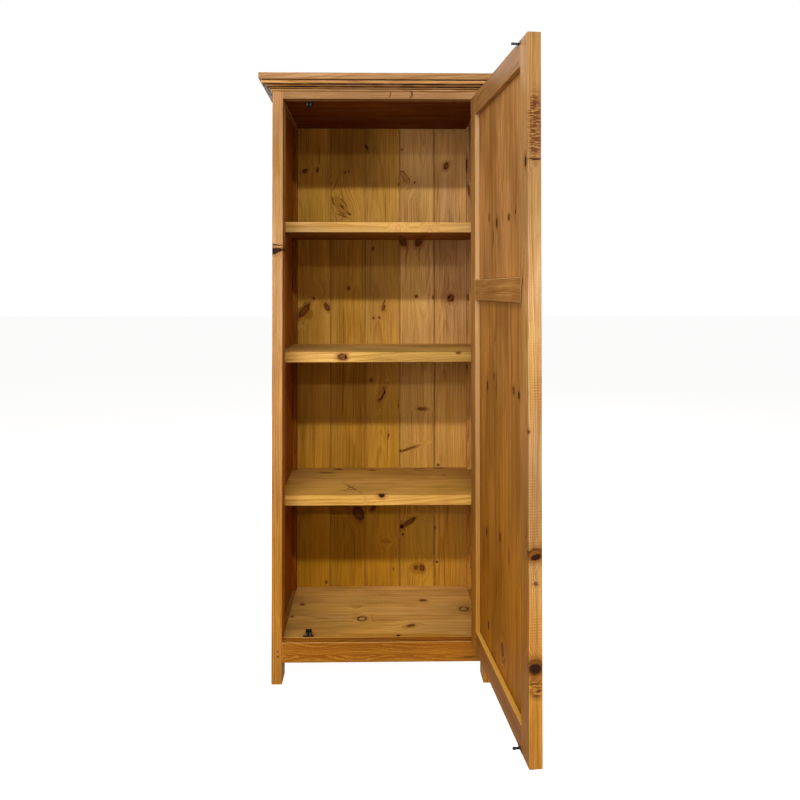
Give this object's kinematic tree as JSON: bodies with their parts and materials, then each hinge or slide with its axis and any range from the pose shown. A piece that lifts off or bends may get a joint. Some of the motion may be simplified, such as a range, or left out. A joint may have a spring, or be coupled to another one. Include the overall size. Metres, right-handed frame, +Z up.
{
  "type": "trastero cabinet",
  "caption": "Tall rustic pine cabinet with an inset panelled door, open shelves inside, a moulded crown and short square legs.",
  "frame": {"origin": "on the floor, at the middle of the box round the cabinet with its door standing open as stored", "axes": "+X to the cabinet's right as seen from the front, +Y to the back, +Z up"},
  "size_m": [0.742, 1.0416, 1.829],
  "materials": {
    "pine_frame": "satin oiled",
    "pine_shelf": "satin oiled",
    "pine_board": "satin oiled",
    "pine_door": "satin oiled",
    "pine_crown": "satin oiled",
    "black_steel": "black, slightly worn",
    "hinge_steel": "dark, slightly worn",
    "screw_steel": "dark",
    "nylon": "matte"
  },
  "bodies": {
    "carcass": {"back_board_1": "pine_board", "back_board_2": "pine_board", "back_board_3": "pine_board", "back_board_4": "pine_board", "back_board_5": "pine_board", "catch_ceiling_case": "black_steel", "catch_floor_case": "black_steel", "catch_screws": "screw_steel", "ceiling_board": "pine_shelf", "crown_front": "pine_crown", "crown_left": "pine_crown", "crown_right": "pine_crown", "floor_board": "pine_shelf", "front_post_left": "pine_frame", "front_post_right": "pine_frame", "front_rail_bottom": "pine_frame", "front_rail_top": "pine_frame", "hinge_1_pin": "hinge_steel", "hinge_1_post_leaf": "hinge_steel", "hinge_2_pin": "hinge_steel", "hinge_2_post_leaf": "hinge_steel", "hinge_3_pin": "hinge_steel", "hinge_3_post_leaf": "hinge_steel", "hinge_screws_post": "screw_steel", "rear_post_left": "pine_frame", "rear_post_right": "pine_frame", "shelf_lower": "pine_shelf", "shelf_middle": "pine_shelf", "shelf_upper": "pine_shelf", "side_panel_left": "pine_board", "side_panel_right": "pine_board", "side_rail_bottom_left": "pine_frame", "side_rail_bottom_right": "pine_frame", "side_rail_top_left": "pine_frame", "side_rail_top_right": "pine_frame", "top_board": "pine_crown"},
    "door": {"door_panel_lower": "pine_door", "door_panel_upper": "pine_door", "door_rail_bottom": "pine_door", "door_rail_middle": "pine_door", "door_rail_top": "pine_door", "door_stile_free": "pine_door", "door_stile_hinge": "pine_door", "hinge_1_door_leaf": "hinge_steel", "hinge_2_door_leaf": "hinge_steel", "hinge_3_door_leaf": "hinge_steel", "hinge_screws_door": "screw_steel", "strike_bottom": "black_steel", "strike_screws": "screw_steel", "strike_top": "black_steel"},
    "floor_arm_a": {"catch_floor_arm_a": "black_steel"},
    "floor_roller_a": {"catch_floor_roller_a": "nylon"},
    "floor_arm_b": {"catch_floor_arm_b": "black_steel"},
    "floor_roller_b": {"catch_floor_roller_b": "nylon"},
    "ceiling_arm_a": {"catch_ceiling_arm_a": "black_steel"},
    "ceiling_roller_a": {"catch_ceiling_roller_a": "nylon"},
    "ceiling_arm_b": {"catch_ceiling_arm_b": "black_steel"},
    "ceiling_roller_b": {"catch_ceiling_roller_b": "nylon"}
  },
  "joints": [
    {"name": "door_swing", "type": "hinge", "parent": "carcass", "child": "door", "pos_m": [0.30075, 0.07971, 0.942], "axis": [0, 0, 1], "range_deg": [-95, 85]},
    {"name": "floor_arm_a_spring", "type": "hinge", "parent": "carcass", "child": "floor_arm_a", "pos_m": [-0.2323, 0.13591, 0.1315], "axis": [0, 0, -1], "range_deg": [0, 12], "stiffness_Nm_per_rad": 0.02, "springref_deg": -2.86},
    {"name": "floor_roller_a_spin", "type": "hinge", "parent": "floor_arm_a", "child": "floor_roller_a", "pos_m": [-0.2323, 0.12541, 0.1315], "axis": [0, 0, 1], "continuous": true},
    {"name": "floor_arm_b_spring", "type": "hinge", "parent": "carcass", "child": "floor_arm_b", "pos_m": [-0.2217, 0.13591, 0.1315], "axis": [0, 0, 1], "range_deg": [0, 12], "stiffness_Nm_per_rad": 0.02, "springref_deg": -2.86},
    {"name": "floor_roller_b_spin", "type": "hinge", "parent": "floor_arm_b", "child": "floor_roller_b", "pos_m": [-0.2217, 0.12541, 0.1315], "axis": [0, 0, 1], "continuous": true},
    {"name": "ceiling_arm_a_spring", "type": "hinge", "parent": "carcass", "child": "ceiling_arm_a", "pos_m": [-0.2217, 0.13591, 1.7525], "axis": [0, 0, 1], "range_deg": [0, 12], "stiffness_Nm_per_rad": 0.02, "springref_deg": -2.86},
    {"name": "ceiling_roller_a_spin", "type": "hinge", "parent": "ceiling_arm_a", "child": "ceiling_roller_a", "pos_m": [-0.2217, 0.12541, 1.7525], "axis": [0, 0, 1], "continuous": true},
    {"name": "ceiling_arm_b_spring", "type": "hinge", "parent": "carcass", "child": "ceiling_arm_b", "pos_m": [-0.2323, 0.13591, 1.7525], "axis": [0, 0, -1], "range_deg": [0, 12], "stiffness_Nm_per_rad": 0.02, "springref_deg": -2.86},
    {"name": "ceiling_roller_b_spin", "type": "hinge", "parent": "ceiling_arm_b", "child": "ceiling_roller_b", "pos_m": [-0.2323, 0.12541, 1.7525], "axis": [0, 0, 1], "continuous": true}
  ]
}
